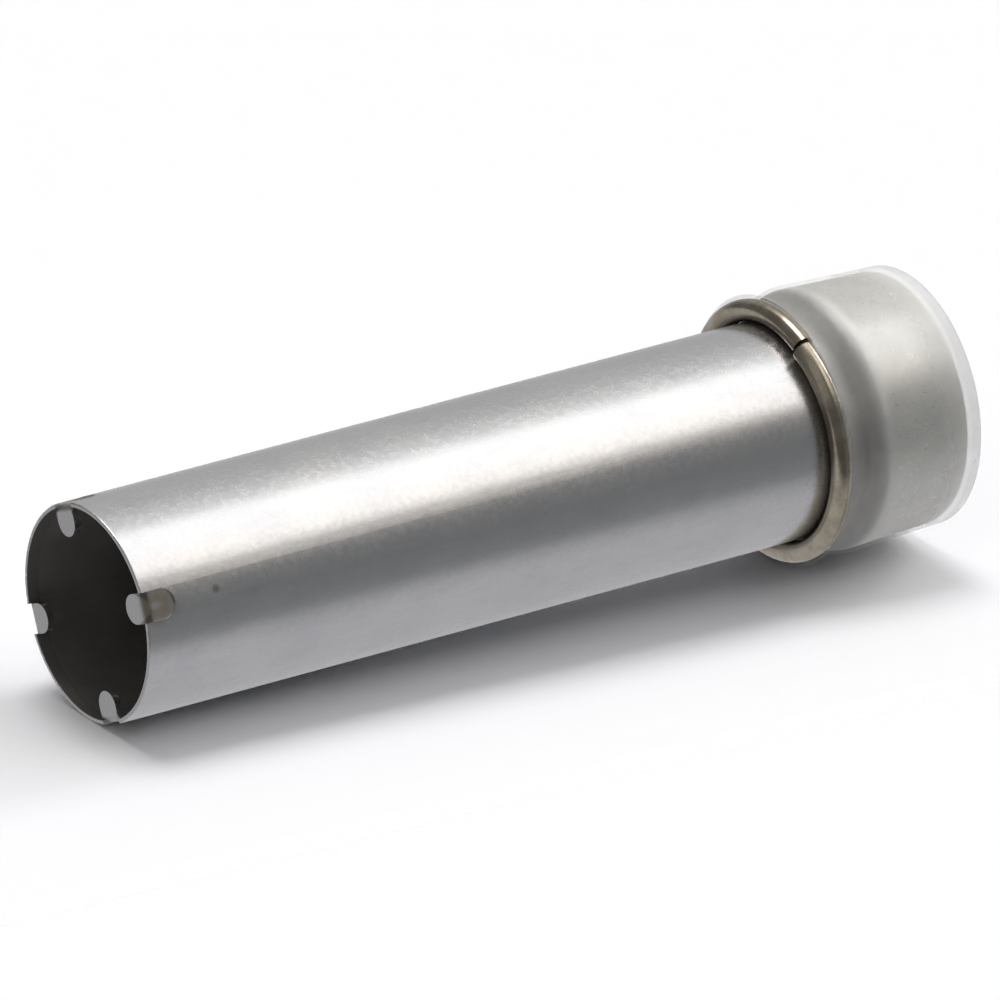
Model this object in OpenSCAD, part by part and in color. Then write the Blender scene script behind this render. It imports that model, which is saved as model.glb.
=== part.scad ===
// Hot air nozzle: a steel barrel with four lugs folded in at its mouth and a belled rear end,
// a split wire ring round it and a translucent sleeve over the bell.
// Units are millimetres. The nozzle stands on its rear end with its mouth up and its axis on Z.

/* [Barrel] */
// Outside diameter of the barrel
barrel_od = 22; // [18:0.5:28]
// Thickness of the barrel's sheet
wall = 0.7; // [0.5:0.05:1]
// Length of the barrel from its rear edge to its mouth
barrel_len = 94.6; // [70:0.2:120]
// Radius that breaks the outer edge of the mouth
edge_r = 0.12; // [0.05:0.01:0.2]
// Width of the bevel round the inside of the mouth, taken from the wall
bevel_w = 0.3; // [0.1:0.02:0.36]

/* [Rear bell] */
// How far the bell stands out from the barrel, on each side
bell_rise = 2.15; // [1.4:0.05:2.6]
// Distance from the barrel's rear edge to the crest of the bell
bell_len = 9.6; // [7:0.2:14]
// Inward lean of the bell towards its rear edge, in degrees
bell_lean = 2.4; // [0.4:0.2:4]
// Length of the S-shaped shoulder between the barrel and the bell
shoulder_len = 3; // [2.4:0.1:3.6]
// Slight opening out of the barrel under the ring, ahead of the shoulder, in degrees
taper = 0.8; // [0.4:0.1:1.2]

/* [Mouth lugs] */
// Number of lugs folded in at the mouth
lug_count = 4; // [3:1:6]
// Width of a lug, and of the flat pressed behind it
lug_w = 3; // [2:0.1:4]
// Distance from the flat behind a lug to the lug's tip
lug_reach = 3.2; // [2.6:0.1:5]
// Inside radius of the fold at the root of a lug
fold_r = 0.3; // [0.1:0.05:0.6]
// Length of the pressed flat, from the mouth to its round end
flat_len = 3.5; // [2.6:0.1:6]
// Depth of the flat's edges below the outside of the barrel
press_depth = 0.1; // [0.05:0.01:0.2]

/* [Retaining ring] */
// Diameter of the ring's wire
wire_d = 2.2; // [1.6:0.1:2.6]
// Distance from the crest of the bell to the ring's middle plane
ring_stand = 5; // [4.5:0.1:6]
// Clearance between the ring and the barrel
ring_clear = 0.03; // [0.02:0.01:0.1]
// Gap between the two ends of the wire
split_gap = 0.5; // [0.2:0.1:2]
// Direction of the split round the barrel, in degrees from +X
split_angle = -50; // [-180:1:180]
// Angle taken up by the end of the wire that is bent towards the mouth, in degrees
bent_arc = 40; // [20:1:60]
// Tilt of that bent end, in degrees
bent_tilt = 2.4; // [0.4:0.2:4]

/* [Sleeve] */
// Thickness of the sleeve
sleeve_wall = 0.35; // [0.2:0.05:0.6]
// Length of sleeve that stands past the barrel's rear edge
overhang = 1.4; // [0.6:0.1:4]
// Clearance between the sleeve and the metal under it
sleeve_clear = 0.04; // [0.02:0.01:0.1]
// Radius of the sleeve's waist between the ring and the bell
waist_r = 2.6; // [2.2:0.1:3.4]
// How far the edge of the sleeve's lip lies behind the crest of the ring, in degrees round the wire
lip_back = 6; // [2:1:25]

/* [Hidden] */
$fn = 96;

// Overlap where an arc runs into a line or another arc
blend = 0.0005;
// How far a cut runs past the face that it leaves by
past = 1;

barrel_r = barrel_od / 2;
wire_r = wire_d / 2;

// Heights along the axis
rear_z = overhang;
crest_z = rear_z + bell_len;
ring_z = crest_z + ring_stand;
mouth_z = rear_z + barrel_len;

// Bore, and the middle of the barrel's sheet on the tube and at the crest of the bell
bore_r = barrel_r - wall;
tube_mid_r = barrel_r - wall / 2;
bell_mid_r = tube_mid_r + bell_rise;
// Middle of what the bevel leaves of the rim
rim_mid_r = barrel_r - (wall - bevel_w) / 2;

// The taper starts just ahead of the ring, whose bent end stands this far out of its plane at most
bend_lift = (barrel_r + wire_d) * sin(bent_arc) * sin(bent_tilt);
taper_gap = 0.15;
taper_z = ring_z + wire_r + bend_lift + taper_gap;
neck_z = crest_z + shoulder_len;
neck_mid_r = tube_mid_r + (taper_z - neck_z) * tan(taper);

// The shoulder is two equal arcs about the crest and the neck, tangent to each other and to the taper
shoulder_r = arc_pair_r(bell_mid_r - neck_mid_r, shoulder_len, taper);
crest_c = [bell_mid_r - shoulder_r, crest_z];
neck_c = polar([neck_mid_r, neck_z], shoulder_r, taper);

// The flat behind a lug lies below the chord that is as wide as the lug
flat_r = sqrt(barrel_r * barrel_r - lug_w * lug_w / 4) - press_depth;
fold_out_r = fold_r + wall;
fold_c = [flat_r - fold_out_r, mouth_z - fold_out_r];
lug_tip_r = flat_r - lug_reach;

// The ring's wire, from the split round to the bend and on through the bent end
ring_seat_r = barrel_r + (taper_z - ring_z) * tan(taper);
ring_mid_r = ring_seat_r + ring_clear + wire_r;
wire_c = [ring_mid_r, ring_z];
half_gap = asin(split_gap / 2 / ring_mid_r);
ring_arc = 360 - 2 * half_gap - bent_arc;
bend_angle = split_angle + half_gap + ring_arc;
// A ball that stands a little proud of the wire rounds the bend, and the wire on each side stops inside it
ball_proud = 0.004;
bend_trim = 0.3;

// The middle of the sleeve's sheet is three tangent arcs: over the crest, round the waist and over the wire
sleeve_crest_r = shoulder_r + wall / 2 + sleeve_clear + sleeve_wall / 2;
lip_r = wire_r + sleeve_clear + sleeve_wall / 2;
waist_c = tangent_centre(crest_c, sleeve_crest_r + waist_r, wire_c, lip_r + waist_r);

// Point at distance d1 from p1 and d2 from p2, on the side away from the axis
function tangent_centre(p1, d1, p2, d2) =
    let (span = norm(p2 - p1), along = (p2 - p1) / span)
    let (x = (d1 * d1 - d2 * d2 + span * span) / (2 * span), y = sqrt(d1 * d1 - x * x))
    p1 + x * along + y * [along[1], -along[0]];

// Radius of two equal tangent arcs that lead from a line leaning by angle a to a level crest
function arc_pair_r(rise, length, a) =
    let (p = 2 * (1 - cos(a)), q = 2 * (rise * (1 + cos(a)) - length * sin(a)))
    let (c = rise * rise + length * length)
    2 * c / (q + sqrt(q * q + 4 * p * c));

// Point on a circle
function polar(c, r, a) = c + r * [cos(a), sin(a)];

// Ends of the leaning side below a crest of radius r: just inside the crest's arc, and at height z
function side_top(r) = polar(crest_c, r - blend, -bell_lean);
function side_foot(r, z) =
    let (tangent = polar(crest_c, r, -bell_lean))
    [tangent[0] - (tangent[1] - z) * tan(bell_lean), z];

// Disc about a point
module disc(c, r) {
    translate(c)
        circle(r = r);
}

// The part of a square's far corner that lies beyond an arc of radius r about its near corner
module corner(r, size) {
    difference() {
        square(size);
        circle(r = r + blend);
    }
}

// Everything inside the barrel's skin that lies off outside the middle of its sheet, between two heights
module barrel_inside(off, z0, z1) {
    r = shoulder_r + off;
    neck = polar(neck_c, off - shoulder_r, taper);
    taper_end = polar(neck, taper_z - neck_z + past, taper + 90);
    translate([0, z0])
        square([tube_mid_r + off, z1 - z0]);
    difference() {
        polygon([
            [0, z0],
            side_foot(r, z0),
            side_top(r),
            crest_c,
            neck_c,
            neck,
            taper_end,
            [0, taper_end[1]]
        ]);
        disc(neck_c, shoulder_r - off + blend);
    }
    disc(crest_c, r);
}

// What the bevel takes from the inside of the mouth, over the depth of the lugs' folds
module mouth_bevel() {
    lean = bevel_w / fold_out_r;
    polygon([
        [0, fold_c[1] - past],
        [bore_r - lean * past, fold_c[1] - past],
        [bore_r + bevel_w + lean * past, mouth_z + past],
        [0, mouth_z + past]
    ]);
}

// Half section of the barrel without its lugs
module barrel_section() {
    difference() {
        barrel_inside(wall / 2, rear_z, mouth_z);
        barrel_inside(-wall / 2, rear_z - past, mouth_z + past);
        translate([barrel_r - edge_r, mouth_z - edge_r])
            corner(edge_r, past);
        mouth_bevel();
    }
}

// Stands a drawing made in radius and height up in the XZ plane, with its thickness along Y
module across(width) {
    rotate([90, 0, 0])
        linear_extrude(height = width, center = true)
            children();
}

// Block with the outline of the pressed flat, seen from outside, from radius r0 to r1 and up to height z1
module flat_block(r0, r1, z1) {
    round_z = mouth_z - flat_len + lug_w / 2;
    translate([r0, 0, 0])
        rotate([90, 0, 90])
            linear_extrude(height = r1 - r0) {
                translate([-lug_w / 2, round_z])
                    square([lug_w, z1 - round_z]);
                disc([0, round_z], lug_w / 2);
            }
}

// A lug before its fold is rounded: the pressed sheet in the barrel, the tab and the fold's inside corner
module lug() {
    tip_c = [lug_tip_r + lug_w / 2, 0];
    flat_block(flat_r - wall, rim_mid_r, mouth_z - wall / 2);
    translate([0, 0, mouth_z - wall])
        linear_extrude(height = wall) {
            translate([tip_c[0], -lug_w / 2])
                square([rim_mid_r - tip_c[0], lug_w]);
            disc(tip_c, lug_w / 2);
        }
    across(lug_w)
        translate(fold_c)
            corner(fold_r, fold_r + wall / 2);
}

// What the pressing and the fold take off the outside of the barrel
module lug_relief() {
    flat_block(flat_r, barrel_r + past, mouth_z + past);
    across(lug_w)
        translate(fold_c)
            corner(fold_out_r, fold_out_r + past);
}

// Places a copy of a feature at each lug
module at_lugs() {
    for (i = [0 : lug_count - 1])
        rotate(i * 360 / lug_count)
            children();
}

module barrel() {
    color([0.72, 0.72, 0.71])
        difference() {
            union() {
                rotate_extrude()
                    barrel_section();
                at_lugs()
                    lug();
            }
            at_lugs()
                lug_relief();
        }
}

// Length of the ring's wire in its own plane, from angle a through an arc
module wire(a, arc) {
    rotate(a)
        rotate_extrude(angle = arc)
            disc([ring_mid_r, 0], wire_r);
}

module retaining_ring() {
    bend_dir = [cos(bend_angle), sin(bend_angle), 0];
    color([0.5, 0.46, 0.39])
        translate([0, 0, ring_z]) {
            wire(split_angle + half_gap, ring_arc - bend_trim);
            translate(ring_mid_r * bend_dir)
                rotate([90, 0, bend_angle])
                    sphere(r = wire_r + ball_proud);
            rotate(a = bent_tilt, v = bend_dir)
                wire(bend_angle + bend_trim, bent_arc - bend_trim);
        }
}

// Everything inside the sleeve's skin that lies off outside the middle of its sheet, down to height z
module sleeve_inside(off, z) {
    r = sleeve_crest_r + off;
    difference() {
        polygon([
            [0, z],
            side_foot(r, z),
            side_top(r),
            crest_c,
            waist_c,
            wire_c,
            [0, ring_z]
        ]);
        disc(waist_c, waist_r - off + blend);
    }
    disc(crest_c, r);
    disc(wire_c, lip_r + off);
}

// Half section of the sleeve, cut square at the edge of its lip
module sleeve_section() {
    reach = lip_r + sleeve_wall + past;
    difference() {
        sleeve_inside(sleeve_wall / 2, 0);
        sleeve_inside(-sleeve_wall / 2, -past);
        polygon([
            wire_c,
            polar(wire_c, reach, -lip_back),
            wire_c + [reach, reach],
            [0, ring_z + reach],
            [0, ring_z]
        ]);
    }
}

module sleeve() {
    color([0.8, 0.81, 0.8])
        rotate_extrude()
            sleeve_section();
}

barrel();
retaining_ring();
sleeve();
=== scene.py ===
"""Hot air nozzle: materials, floor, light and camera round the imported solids.

Lengths are millimetres, in the shaders too, and become metres by MM.
"""
import math
from types import SimpleNamespace

import bpy
from mathutils import Matrix, Vector

MM = 0.001
PER_MM = (1 / MM, 1 / MM, 1 / MM)

# Places on the part, from its source
MOUTH_Z = 96.0        # plane of the mouth
BARREL_R = 11.0       # outside of the barrel
FLAT_END_Z = 92.5     # lower end of the pressed flats behind the lugs
LUG_HALF = 1.5        # half of a lug's width
REAR_Z = 1.4          # the barrel's rear edge, inside the sleeve
CREST_Z = 11.0        # widest part of the bell
RING_Z = 16.0
LIP_R = 13.634        # where the sleeve's lip touches the floor
LIP_Z = 15.84

# Marks on the steel, and where a painted highlight lies
SPECK = (0.1, -11.0, 87.8)
STREAK_Z = 94.6       # middle of the painted highlight streak on a pressed flat
OVAL_R = 9.25         # middle of the lighter oval on a lug's face
OVAL_LONG = 1.65      # its half length and half width
OVAL_WIDE = 1.45

# The photograph
IMAGE_PX = 1000
PX_PER_MM = 10.409
CAMERA_FAR = 2000.0
LYING_UP_DEG = -23.4  # upward direction when the nozzle lies as photographed, round its axis
LUGS_TURN_DEG = 4.8   # how far the lugs' pattern is turned

FLOOR_REACH = 600.0
FLOOR_NEAR = -60.0    # the floor's near edge, which has faded out before it ends
FLOOR_FADE = (16, 48)

# Light by degrees round the nozzle's axis, from straight up when it lies: degrees, level, warmth
OVERHEAD = (
    (-180, 0.35, 0), (-100, 0.24, -0.03), (-85, 0.20, -0.03), (-62, 0.23, 0), (-50, 0.40, 0.05),
    (-38, 1.58, 0.05), (-10, 1.60, 0), (5, 1.60, 0), (17, 0.80, 0), (40, 0.56, 0), (90, 0.48, 0), (180, 0.35, 0))
BEYOND = (
    (-180, 0.20, 0), (-60, 0.15, -0.15), (-30, 0.18, -0.15), (-8, 0.50, 0), (2, 0.90, 0), (7, 10.6, 0.02),
    (22, 10.6, 0.02), (29, 1.6, 0), (50, 0.45, 0), (90, 0.25, 0), (180, 0.20, 0))
AHEAD = (
    (-180, 0.14, 0), (-58, 0.14, 0), (-44, 0.36, 0.02), (-4, 0.36, 0.02), (10, 0.20, 0), (180, 0.14, 0))

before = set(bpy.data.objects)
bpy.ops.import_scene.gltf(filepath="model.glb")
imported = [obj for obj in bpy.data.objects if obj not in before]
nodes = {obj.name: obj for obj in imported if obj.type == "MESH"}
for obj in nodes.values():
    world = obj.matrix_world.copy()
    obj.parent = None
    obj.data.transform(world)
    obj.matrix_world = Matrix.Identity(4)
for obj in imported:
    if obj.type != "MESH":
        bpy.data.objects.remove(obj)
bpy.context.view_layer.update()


class Graph:
    """Shorthand for making one node tree."""

    def __init__(self, tree):
        self.tree = tree
        tree.nodes.clear()

    def put(self, kind, inputs=None, **settings):
        node = self.tree.nodes.new(kind)
        for key, value in settings.items():
            setattr(node, key, value)
        for key, value in (inputs or {}).items():
            if isinstance(value, bpy.types.NodeSocket):
                self.tree.links.new(value, node.inputs[key])
            else:
                node.inputs[key].default_value = value
        return node

    def math(self, operation, *values):
        return self.put("ShaderNodeMath", dict(enumerate(values)), operation=operation).outputs[0]

    def product(self, first, *others):
        for other in others:
            first = self.math("MULTIPLY", first, other)
        return first

    def total(self, first, *others):
        for other in others:
            first = self.math("ADD", first, other)
        return first

    def vector(self, operation, *values):
        node = self.put("ShaderNodeVectorMath", dict(enumerate(values)), operation=operation)
        return node.outputs["Value" if operation in ("DOT_PRODUCT", "LENGTH") else "Vector"]

    def xyz(self, vector):
        return self.put("ShaderNodeSeparateXYZ", {0: vector}).outputs

    def length(self, x, y):
        return self.vector("LENGTH", self.put("ShaderNodeCombineXYZ", {0: x, 1: y}).outputs[0])

    def fade(self, value, start, end, low=0.0, high=1.0):
        """low at start, high at end, eased between and held beyond."""
        node = self.put("ShaderNodeMapRange", {0: value, 1: start, 2: end, 3: low, 4: high}, clamp=True)
        node.interpolation_type = "SMOOTHSTEP"
        return node.outputs[0]

    def mix(self, factor, a, b):
        return self.put("ShaderNodeMix", {0: factor, 6: a, 7: b}, data_type="RGBA").outputs[2]

    def noise(self, vector, scale, detail=3.0, roughness=0.55):
        inputs = {"Vector": vector, "Scale": scale, "Detail": detail, "Roughness": roughness}
        return self.put("ShaderNodeTexNoise", inputs).outputs[0]

    def bump(self, height, depth):
        """Bump of a height from 0 to 1 that stands for a depth in millimetres."""
        inputs = {"Height": height, "Strength": 1.0, "Distance": depth * MM}
        return self.put("ShaderNodeBump", inputs).outputs[0]

    def blend(self, factor, a, b):
        return self.put("ShaderNodeMixShader", {0: factor, 1: a.outputs[0], 2: b.outputs[0]})


def new_material(name):
    made = bpy.data.materials.new(name)
    made.use_nodes = True
    return made, Graph(made.node_tree)


def place(g):
    """Where a point lies in millimetres, and how far its surface faces outward and towards the mouth."""
    coords = g.put("ShaderNodeTexCoord").outputs
    position = g.vector("MULTIPLY", coords["Object"], PER_MM)
    x, y, z = g.xyz(position)
    radial = g.vector("NORMALIZE", g.vector("MULTIPLY", position, (1.0, 1.0, 0.0)))
    outward = g.vector("DOT_PRODUCT", radial, coords["Normal"])
    forward = g.xyz(coords["Normal"])[2]
    return SimpleNamespace(position=position, x=x, y=y, z=z, outward=outward, forward=forward)


def shade(g, **inputs):
    """Principled surface with these inputs."""
    surface = g.put("ShaderNodeBsdfPrincipled", inputs)
    g.put("ShaderNodeOutputMaterial", {"Surface": surface.outputs[0]})


def brown_flat_streak(g, at, side, grain):
    """Brown on the pressed flats: soft at its edge, round at the lower end, and thinned along a bright streak
    that is a painted highlight.
    """
    drop = g.math("MINIMUM", g.math("SUBTRACT", at.z, FLAT_END_Z + LUG_HALF), 0.0)
    outside = g.math("SUBTRACT", g.length(side, drop), LUG_HALF)
    ragged = g.total(outside, g.fade(grain, 0.25, 0.75, -0.25, 0.25))
    # The streak, where the brown thins out, is a painted highlight
    streak = g.length(side, g.product(g.math("SUBTRACT", at.z, STREAK_Z), 0.6))
    return g.product(
        g.fade(ragged, 0.8, -0.8), g.fade(at.outward, 0.2, 0.5),
        g.fade(at.z, FLAT_END_Z - 1.0, FLAT_END_Z - 0.4), g.fade(streak, 0.12, 0.55, 0.15, 1.0))


def lug_root(g, at, side, far, mouth):
    """Darker round the root of each lug, which leaves a lighter oval on its face."""
    reach = g.math("SUBTRACT", far, OVAL_R)
    oval = g.length(g.math("DIVIDE", reach, OVAL_LONG), g.math("DIVIDE", side, OVAL_WIDE))
    return g.product(
        g.fade(oval, 0.9, 1.1), g.fade(side, LUG_HALF + 0.1, LUG_HALF - 0.1), g.fade(reach, 0.2, 0.6),
        g.fade(at.forward, 0.15, 0.4), mouth)


def steel():
    """Drawn steel: frosted grain, brown flats with a painted highlight streak, darker lug roots, the bell under
    the film, and painted shade in the bore, on the faces towards the mouth and in the waist.
    """
    made, g = new_material("drawn_steel")
    at = place(g)
    grain = g.noise(at.position, 1.7, 3.0, 0.6)
    drawn = g.noise(g.vector("MULTIPLY", at.position, (1.0, 1.0, 0.3)), 0.9)
    wavy = g.noise(at.position, 0.55, 2.0)
    cloud = g.fade(g.noise(at.position, 0.16), 0.3, 0.7)
    wide, deep = g.math("ABSOLUTE", at.x), g.math("ABSOLUTE", at.y)
    side, far = g.math("MINIMUM", wide, deep), g.math("MAXIMUM", wide, deep)

    covered = g.fade(at.z, RING_Z + 1.5, RING_Z - 0.5)
    bell = g.fade(at.z, CREST_Z + 0.6, CREST_Z - 0.8)
    crest = g.product(covered, g.fade(at.z, CREST_Z - 1.4, CREST_Z + 0.4))
    # Mask of the waist between the bell's crest and the ring, where shade is painted
    waist_shade = g.product(covered, g.fade(at.z, CREST_Z - 0.3, CREST_Z + 1.3))
    bore = g.fade(at.outward, -0.25, -0.6)
    mouth = g.fade(at.z, MOUTH_Z - 1.2, MOUTH_Z - 0.9)
    # Faces towards the mouth, the rim's end and the lugs' faces, for painted shade
    mouth_faces_shade = g.product(g.fade(at.forward, 0.5, 0.85), g.fade(at.z, MOUTH_Z - 1.0, MOUTH_Z - 0.3))
    flat_brown = brown_flat_streak(g, at, side, grain)
    speck = g.vector("LENGTH", g.vector("SUBTRACT", at.position, SPECK))

    colour = g.mix(cloud, (0.63, 0.63, 0.64, 1), (0.67, 0.665, 0.66, 1))
    colour = g.mix(g.fade(drawn, 0.45, 0.75, 0.0, 0.25), colour, (0.55, 0.545, 0.54, 1))
    colour = g.mix(bell, colour, (0.80, 0.795, 0.77, 1))
    # Painted shade: the waist between the bell's crest and the ring is darkened
    colour = g.mix(g.product(waist_shade, 0.66), colour, (0.20, 0.19, 0.18, 1))
    # Brown on the pressed flats, thinned along the painted highlight streak
    colour = g.mix(g.product(flat_brown, 0.88), colour, (0.42, 0.365, 0.29, 1))
    colour = g.mix(g.fade(speck, 0.6, 0.15, 0.0, 0.6), colour, (0.20, 0.185, 0.13, 1))
    # Painted shade in the bore: dark warm-grey steel, darkest within a millimetre of the mouth
    bore_shade = g.mix(cloud, (0.17, 0.165, 0.155, 1), (0.22, 0.21, 0.195, 1))
    bore_shade = g.mix(mouth, bore_shade, (0.10, 0.092, 0.085, 1))
    colour = g.mix(bore, colour, bore_shade)
    # Painted shade: the faces towards the mouth are darkened
    colour = g.mix(g.product(mouth_faces_shade, 0.8), colour, (0.42, 0.415, 0.41, 1))
    root = lug_root(g, at, side, far, mouth)
    colour = g.mix(g.product(root, 0.6), colour, (0.10, 0.09, 0.075, 1))

    rough = g.total(
        g.fade(grain, 0.25, 0.75, 0.20, 0.30), g.product(bore, 0.3), g.product(flat_brown, 0.10),
        g.product(crest, 0.36), g.product(bell, 0.06))
    height = g.total(g.product(grain, 0.4), g.product(drawn, 0.25), wavy)
    height = g.product(height, g.fade(at.z, RING_Z + 1.0, RING_Z + 5.0, 0.1, 1.0))
    metal = g.fade(bore, 0.0, 1.0, 1.0, 0.25)
    shade(g, **{"Base Color": colour, "Metallic": metal, "Roughness": rough, "Normal": g.bump(height, 0.012)})
    return made


def wire():
    """Bronze-tinted wire, with painted shade where it faces the barrel."""
    made, g = new_material("tinted_wire")
    at = place(g)
    grain = g.noise(at.position, 2.6, 4.0, 0.6)
    patch = g.noise(at.position, 0.45, 2.0)
    colour = g.mix(g.fade(patch, 0.35, 0.65), (0.38, 0.33, 0.255, 1), (0.50, 0.45, 0.36, 1))
    colour = g.mix(g.fade(grain, 0.5, 0.8, 0.0, 0.6), colour, (0.28, 0.24, 0.18, 1))
    # Painted shade on the side of the wire that faces the barrel
    colour = g.mix(g.fade(at.outward, 0.2, -0.7, 0.0, 0.7), colour, (0.16, 0.14, 0.11, 1))
    rough = g.fade(grain, 0.25, 0.75, 0.17, 0.28)
    shade(g, **{"Base Color": colour, "Metallic": 1.0, "Roughness": rough, "Normal": g.bump(grain, 0.005)})
    return made


def film():
    """Milky translucent film, cloudier towards the rear and greyer where it stands past the metal."""
    made, g = new_material("milky_film")
    at = place(g)
    haze = g.noise(at.position, 0.22)
    ripple = g.noise(g.vector("MULTIPLY", at.position, (1.0, 1.0, 0.5)), 0.55, 2.0)
    rear = g.fade(at.z, REAR_Z + 4.5, REAR_Z)
    free = g.fade(at.z, REAR_Z + 0.1, REAR_Z - 0.5)
    colour = g.mix(g.fade(haze, 0.35, 0.65), (0.78, 0.775, 0.74, 1), (0.86, 0.85, 0.80, 1))
    colour = g.mix(rear, colour, (0.94, 0.935, 0.91, 1))
    colour = g.mix(free, colour, (0.72, 0.72, 0.71, 1))
    alpha = g.total(g.fade(haze, 0.3, 0.7, 0.17, 0.23), g.product(rear, 0.14))
    rough = g.fade(ripple, 0.3, 0.7, 0.38, 0.50)
    normal = g.bump(ripple, 0.03)
    shade(g, **{"Base Color": colour, "Roughness": rough, "IOR": 1.42, "Alpha": alpha, "Normal": normal})
    return made


def dress(node, material):
    data = nodes[node].data
    data.materials.clear()
    data.materials.append(material)


dress("barrel", steel())
dress("retaining_ring", wire())
dress("sleeve", film())

up_angle = math.radians(LYING_UP_DEG)
lying_up = Vector((math.cos(up_angle), math.sin(up_angle), 0.0))
axis = Vector((0.0, 0.0, 1.0))
farther = axis.cross(lying_up)


def make_floor():
    """Pale sheet that touches the sleeve's lip and the barrel's mouth; it fades out in front and below."""
    lip = -LIP_R * lying_up + LIP_Z * axis
    rim = -BARREL_R * lying_up + MOUTH_Z * axis
    along = (rim - lip).normalized()
    middle = (lip + rim) / 2
    places = ((FLOOR_NEAR, -1), (FLOOR_NEAR, 1), (FLOOR_REACH, 1), (FLOOR_REACH, -1))
    corners = [(middle + across * farther + end * FLOOR_REACH * along) * MM for across, end in places]
    mesh = bpy.data.meshes.new("floor")
    mesh.from_pydata(corners, [], [(0, 1, 2, 3)])
    if mesh.polygons[0].normal.dot(lying_up) < 0:
        mesh.flip_normals()
    made = bpy.data.objects.new("floor", mesh)
    bpy.context.scene.collection.objects.link(made)

    material, g = new_material("pale_floor")
    position = g.vector("MULTIPLY", g.put("ShaderNodeTexCoord").outputs["Object"], PER_MM)
    colour = g.mix(g.noise(position, 0.5), (0.955, 0.96, 0.99, 1), (0.965, 0.97, 1.0, 1))
    paper = g.put("ShaderNodeBsdfDiffuse", {"Color": colour})
    # Metal sees an even floor, without the shadow that the floor shows to the camera
    even = g.put("ShaderNodeEmission", {"Color": (0.56, 0.56, 0.58, 1), "Strength": 1.0})
    path = g.put("ShaderNodeLightPath").outputs
    mirrored = g.product(path["Is Glossy Ray"], g.math("LESS_THAN", path["Diffuse Depth"], 0.5))
    paper = g.blend(mirrored, paper, even)
    nearness = g.vector("DOT_PRODUCT", position, tuple(-farther))
    below = g.put("ShaderNodeNewGeometry").outputs["Backfacing"]
    gone = g.math("MAXIMUM", below, g.fade(nearness, *FLOOR_FADE))
    both = g.blend(gone, paper, g.put("ShaderNodeBsdfTransparent"))
    g.put("ShaderNodeOutputMaterial", {"Surface": both.outputs[0]})
    mesh.materials.append(material)


def make_light():
    """A soft light overhead, a lamp beyond that throws the shadow forward, dim sides; the camera sees white."""
    world = bpy.data.worlds.new("studio")
    bpy.context.scene.world = world
    world.use_nodes = True
    g = Graph(world.node_tree)
    heading = g.vector("NORMALIZE", g.put("ShaderNodeTexCoord").outputs["Generated"])
    angle = g.math("ARCTAN2", g.vector("DOT_PRODUCT", heading, tuple(farther)),
                   g.vector("DOT_PRODUCT", heading, tuple(lying_up)))
    turn = g.math("MULTIPLY_ADD", angle, 0.5 / math.pi, 0.5)

    def band(stops):
        ramp = g.put("ShaderNodeValToRGB", {0: turn})
        elements = ramp.color_ramp.elements
        while len(elements) < len(stops):
            elements.new(0.5)
        for element, (degrees, level, warmth) in zip(elements, stops):
            element.position = degrees / 360 + 0.5
            element.color = (level * (1 + warmth), level, level * (1 - warmth), 1)
        return ramp.outputs[0]

    overhead, beyond, ahead = band(OVERHEAD), band(BEYOND), band(AHEAD)
    height = g.xyz(heading)[2]
    light = g.mix(g.fade(height, -0.34, -0.16), overhead, beyond)
    light = g.mix(g.fade(height, -0.02, 0.2), light, ahead)
    light = g.mix(g.fade(height, -0.7, -0.9), light, beyond)
    seen = g.put("ShaderNodeLightPath").outputs["Is Camera Ray"]
    studio = g.put("ShaderNodeBackground", {"Color": light, "Strength": 1.0})
    white = g.put("ShaderNodeBackground", {"Color": (1, 1, 1, 1), "Strength": 1.0})
    g.put("ShaderNodeOutputWorld", {"Surface": g.blend(seen, studio, white).outputs[0]})


def make_camera():
    """The photograph's view, from far off: the nozzle's axis is 60 degrees from the line of sight."""
    mouth = Vector((-39.69, -10.95, -CAMERA_FAR))     # centre of the mouth, seen from the camera
    to_mouth = Vector((-0.8282, -0.2218, 0.5147)).normalized()
    upward = to_mouth.cross(-mouth).normalized()
    if upward.y < 0:
        upward.negate()
    nearward = upward.cross(to_mouth)
    seen = Matrix((nearward, upward, to_mouth)).transposed()
    roll = math.radians(LUGS_TURN_DEG)
    across, along = math.cos(roll), math.sin(roll)
    held = Matrix(((along, -across, 0), (across, along, 0), axis)).transposed()
    turn = held @ seen.transposed()
    data = bpy.data.cameras.new("camera")
    data.sensor_width = 36.0
    data.lens = PX_PER_MM * CAMERA_FAR * data.sensor_width / IMAGE_PX
    data.clip_start = 0.1
    data.clip_end = 20.0
    made = bpy.data.objects.new("camera", data)
    stand = Vector((0, 0, MOUTH_Z)) - turn @ mouth
    made.matrix_world = Matrix.Translation(stand * MM) @ turn.to_4x4()
    bpy.context.scene.collection.objects.link(made)
    bpy.context.scene.camera = made


make_floor()
make_light()
make_camera()
bpy.context.scene.view_settings.view_transform = "Standard"
